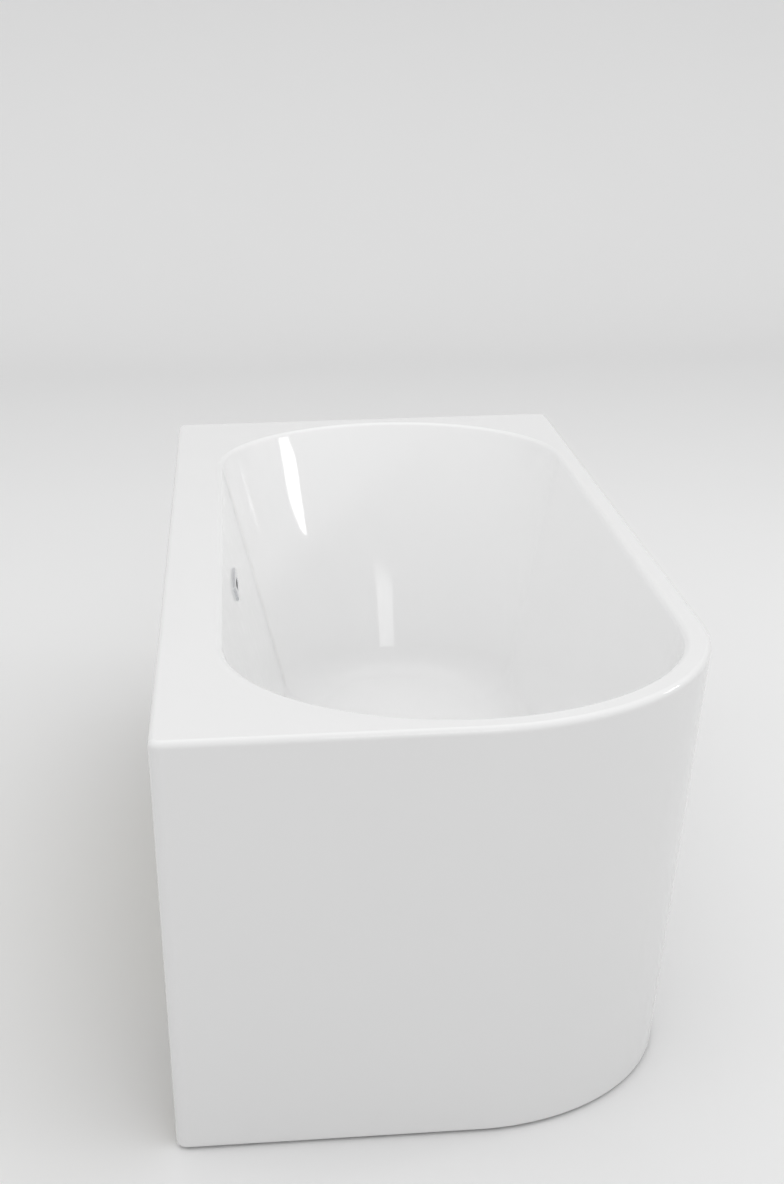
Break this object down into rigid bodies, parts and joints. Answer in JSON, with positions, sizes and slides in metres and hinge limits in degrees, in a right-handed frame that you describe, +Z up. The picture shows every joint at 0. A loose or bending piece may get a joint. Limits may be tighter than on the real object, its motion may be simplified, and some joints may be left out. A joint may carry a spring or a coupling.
{
  "type": "corner bathtub",
  "caption": "Back-to-wall corner bath with a moulded basin, tapered skirt with one large rounded corner, steel cradle, levelling feet, push plug and slot overflow.",
  "frame": {"origin": "on the floor, under the middle of the bath's outer box", "axes": "+Z up; -X towards the long wall, +Y towards the short wall, so that the exposed faces look to +X and -Y"},
  "size_m": [0.75, 1.7, 0.6],
  "materials": {
    "white_acrylic": "thermoformed sheet, high gloss",
    "glass_fibre": "chopped strands in resin, rolled by hand, rough",
    "plywood": "sanded plywood",
    "softwood": "planed softwood",
    "galvanised_steel": "galvanised tube, dull spangle",
    "zinc_fasteners": "bright zinc plate",
    "black_plastic": "moulded, fine matt grain",
    "chrome": "polished chrome plate",
    "white_plastic": "moulded polypropylene, satin",
    "grey_plastic": "moulded and extruded polyethylene, satin",
    "dark_insert": "moulded, satin",
    "black_rubber": "moulded, matt",
    "stainless_steel": "drawn, bright"
  },
  "bodies": {
    "bath": {"tub_shell": "white_acrylic", "outer_skirt": "white_acrylic", "glassfibre_backing": "glass_fibre", "base_board": "plywood", "rim_batten_long": "softwood", "rim_batten_short": "softwood", "skirt_batten_side": "softwood", "skirt_batten_near": "softwood", "long_rail_left": "galvanised_steel", "long_rail_right": "galvanised_steel", "cross_beam_near": "galvanised_steel", "cross_beam_mid": "galvanised_steel", "cross_beam_far": "galvanised_steel", "rim_post_near_left": "galvanised_steel", "rim_post_far_left": "galvanised_steel", "rim_post_end_left": "galvanised_steel", "rim_post_end_right": "galvanised_steel", "angle_brackets": "galvanised_steel", "bracket_screws": "zinc_fasteners", "frame_bolts": "zinc_fasteners", "board_screws": "zinc_fasteners", "weld_nuts": "zinc_fasteners", "lock_nuts": "zinc_fasteners", "tube_end_caps": "black_plastic", "waste_flange": "chrome", "overflow_plate": "chrome", "waste_body": "white_plastic", "outlet_nut": "white_plastic", "hose_nut_top": "white_plastic", "hose_nut_bottom": "white_plastic", "plug_cartridge": "white_plastic", "overflow_hose": "grey_plastic", "overflow_box": "grey_plastic", "overflow_insert": "dark_insert", "waste_top_seal": "black_rubber", "waste_lower_seal": "black_rubber", "outlet_seal": "black_rubber", "overflow_seal": "black_rubber", "plug_spring": "stainless_steel", "overflow_screws": "stainless_steel"},
    "foot_1_pad": {"foot_pad_1": "black_plastic"},
    "foot_1_screw": {"foot_stud_1": "zinc_fasteners"},
    "foot_2_pad": {"foot_pad_2": "black_plastic"},
    "foot_2_screw": {"foot_stud_2": "zinc_fasteners"},
    "foot_3_pad": {"foot_pad_3": "black_plastic"},
    "foot_3_screw": {"foot_stud_3": "zinc_fasteners"},
    "foot_4_pad": {"foot_pad_4": "black_plastic"},
    "foot_4_screw": {"foot_stud_4": "zinc_fasteners"},
    "foot_5_pad": {"foot_pad_5": "black_plastic"},
    "foot_5_screw": {"foot_stud_5": "zinc_fasteners"},
    "plug": {"plug_cap": "chrome", "plug_seal": "black_rubber", "plug_stem": "stainless_steel"}
  },
  "joints": [
    {"name": "foot_1_height", "type": "slide", "parent": "bath", "child": "foot_1_pad", "axis": [0, 0, -1], "range_m": [0, 0.02]},
    {"name": "foot_1_turn", "type": "hinge", "parent": "foot_1_pad", "child": "foot_1_screw", "pos_m": [-0.318, -0.481, 0.011], "axis": [0, 0, -1], "range_deg": [0, 4115]},
    {"name": "foot_2_height", "type": "slide", "parent": "bath", "child": "foot_2_pad", "axis": [0, 0, -1], "range_m": [0, 0.02]},
    {"name": "foot_2_turn", "type": "hinge", "parent": "foot_2_pad", "child": "foot_2_screw", "pos_m": [0.23909, -0.481, 0.011], "axis": [0, 0, -1], "range_deg": [0, 4115]},
    {"name": "foot_3_height", "type": "slide", "parent": "bath", "child": "foot_3_pad", "axis": [0, 0, -1], "range_m": [0, 0.02]},
    {"name": "foot_3_turn", "type": "hinge", "parent": "foot_3_pad", "child": "foot_3_screw", "pos_m": [-0.318, 0.469, 0.011], "axis": [0, 0, -1], "range_deg": [0, 4115]},
    {"name": "foot_4_height", "type": "slide", "parent": "bath", "child": "foot_4_pad", "axis": [0, 0, -1], "range_m": [0, 0.02]},
    {"name": "foot_4_turn", "type": "hinge", "parent": "foot_4_pad", "child": "foot_4_screw", "pos_m": [0.23909, 0.469, 0.011], "axis": [0, 0, -1], "range_deg": [0, 4115]},
    {"name": "foot_5_height", "type": "slide", "parent": "bath", "child": "foot_5_pad", "axis": [0, 0, -1], "range_m": [0, 0.02]},
    {"name": "foot_5_turn", "type": "hinge", "parent": "foot_5_pad", "child": "foot_5_screw", "pos_m": [0.026, -0.196, 0.011], "axis": [0, 0, -1], "range_deg": [0, 4115]},
    {"name": "plug_press", "type": "slide", "parent": "bath", "child": "plug", "axis": [0, 0, 1], "range_m": [-0.009, 0], "stiffness_N_per_m": 600, "springref_m": 0.004, "deforming": ["plug_spring"]}
  ],
  "couplings": [
    {"joint": "foot_1_turn", "follows": "foot_1_height", "rad_per_m": 3590.4},
    {"joint": "foot_2_turn", "follows": "foot_2_height", "rad_per_m": 3590.4},
    {"joint": "foot_3_turn", "follows": "foot_3_height", "rad_per_m": 3590.4},
    {"joint": "foot_4_turn", "follows": "foot_4_height", "rad_per_m": 3590.4},
    {"joint": "foot_5_turn", "follows": "foot_5_height", "rad_per_m": 3590.4}
  ]
}
